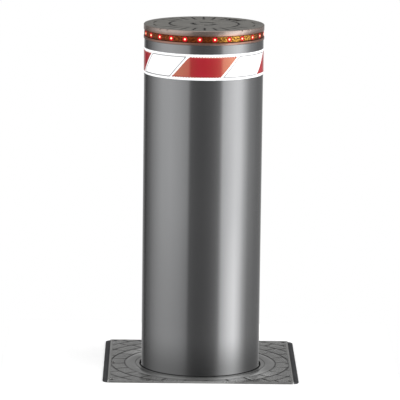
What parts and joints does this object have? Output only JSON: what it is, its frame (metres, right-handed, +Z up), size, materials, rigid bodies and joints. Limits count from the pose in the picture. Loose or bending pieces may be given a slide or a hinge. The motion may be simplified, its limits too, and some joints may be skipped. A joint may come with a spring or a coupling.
{
  "type": "retractable bollard",
  "caption": "Round steel street bollard that rises from a square road cover on a hydraulic ram, with a lamp ring and a red and white reflective band, in its underground guide frame.",
  "frame": {"origin": "on the column's axis at road level, which is the top face of the buried top frame", "axes": "+Z up along the column, -Y towards the front edge of the cover, +X to the right"},
  "size_m": [0.45, 0.434, 1.9],
  "materials": {
    "cast_cover": "cast iron with a grey dip coat, fine grained",
    "collar": "machined and coated, smooth",
    "ribbed_strip": "matte ribbed rubber",
    "seal_rubber": "matte black rubber",
    "stop_rubber": "matte black rubber",
    "black_screw": "blackened steel",
    "galvanised": "hot-dip galvanised, dull",
    "stainless": "brushed stainless steel",
    "zinc_screw": "zinc plated",
    "guide_plastic": "machined nylon",
    "painted_steel": "grey primer paint",
    "chrome_rod": "hard chrome, ground",
    "bronze": "machined bronze",
    "switch_plastic": "moulded blue plastic",
    "box_plastic": "moulded light grey plastic",
    "gland_plastic": "moulded black nylon",
    "column_steel": "dark grey metallic powder coat, satin",
    "magnet": "moulded red plastic round a magnet",
    "ram_paint": "black paint, semi-gloss",
    "motor_paint": "blue grey machine paint",
    "tank_plastic": "translucent white plastic",
    "valve_aluminium": "machined",
    "head_aluminium": "cast aluminium, grey coat",
    "seat_aluminium": "cast aluminium, grey coat",
    "amber_lens": "moulded amber polycarbonate, prismatic inside",
    "circuit_board": "flexible circuit strip",
    "red_lamp": "red lamp",
    "white_film": "white retroreflective film",
    "red_film": "red retroreflective film",
    "brass": "turned brass"
  },
  "bodies": {
    "casing": {"top_frame": "galvanised", "cover_plate": "cast_cover", "side_strips": "ribbed_strip", "cover_screws": "black_screw", "collar_ring": "collar", "wiper_seal": "seal_rubber", "guide_ring": "guide_plastic", "guide_ring_screws": "zinc_screw", "guide_posts": "galvanised", "guide_rails": "stainless", "rail_screws": "zinc_screw", "stiffener_plates": "galvanised", "stop_blocks": "painted_steel", "stop_pads": "stop_rubber", "bottom_plate": "galvanised", "drain_strainer": "stainless", "bump_stops": "stop_rubber", "rod_foot": "painted_steel", "foot_bolts": "zinc_screw", "ram_rod": "chrome_rod", "ram_piston": "bronze", "limit_switches": "switch_plastic", "junction_box": "box_plastic", "junction_lid": "box_plastic", "cable_glands": "gland_plastic"},
    "column": {"bollard_tube": "column_steel", "bottom_spider": "painted_steel", "guide_shoes": "guide_plastic", "shoe_screws": "zinc_screw", "sensor_magnet": "magnet", "ram_barrel": "ram_paint", "ram_gland": "ram_paint", "ram_head": "ram_paint", "bulkhead": "painted_steel", "pump_motor": "motor_paint", "oil_tank": "tank_plastic", "valve_block": "valve_aluminium", "oil_pipe": "valve_aluminium", "unit_screws": "zinc_screw", "head_seat": "seat_aluminium", "lens_gaskets": "seal_rubber", "light_lens": "amber_lens", "lamp_strip": "circuit_board", "lamps": "red_lamp", "head_cap": "head_aluminium", "head_bolts": "zinc_screw", "reflective_band": "white_film", "red_panels": "red_film", "white_panels": "white_film"},
    "release": {"release_spindle": "brass"}
  },
  "joints": [
    {"name": "column_lift", "type": "slide", "parent": "casing", "child": "column", "axis": [0, 0, 1], "range_m": [-0.8, 0]},
    {"name": "release_turn", "type": "hinge", "parent": "column", "child": "release", "pos_m": [0.06959, 0.07729, 0.799], "axis": [0, 0, 1], "range_deg": [0, 90]}
  ]
}
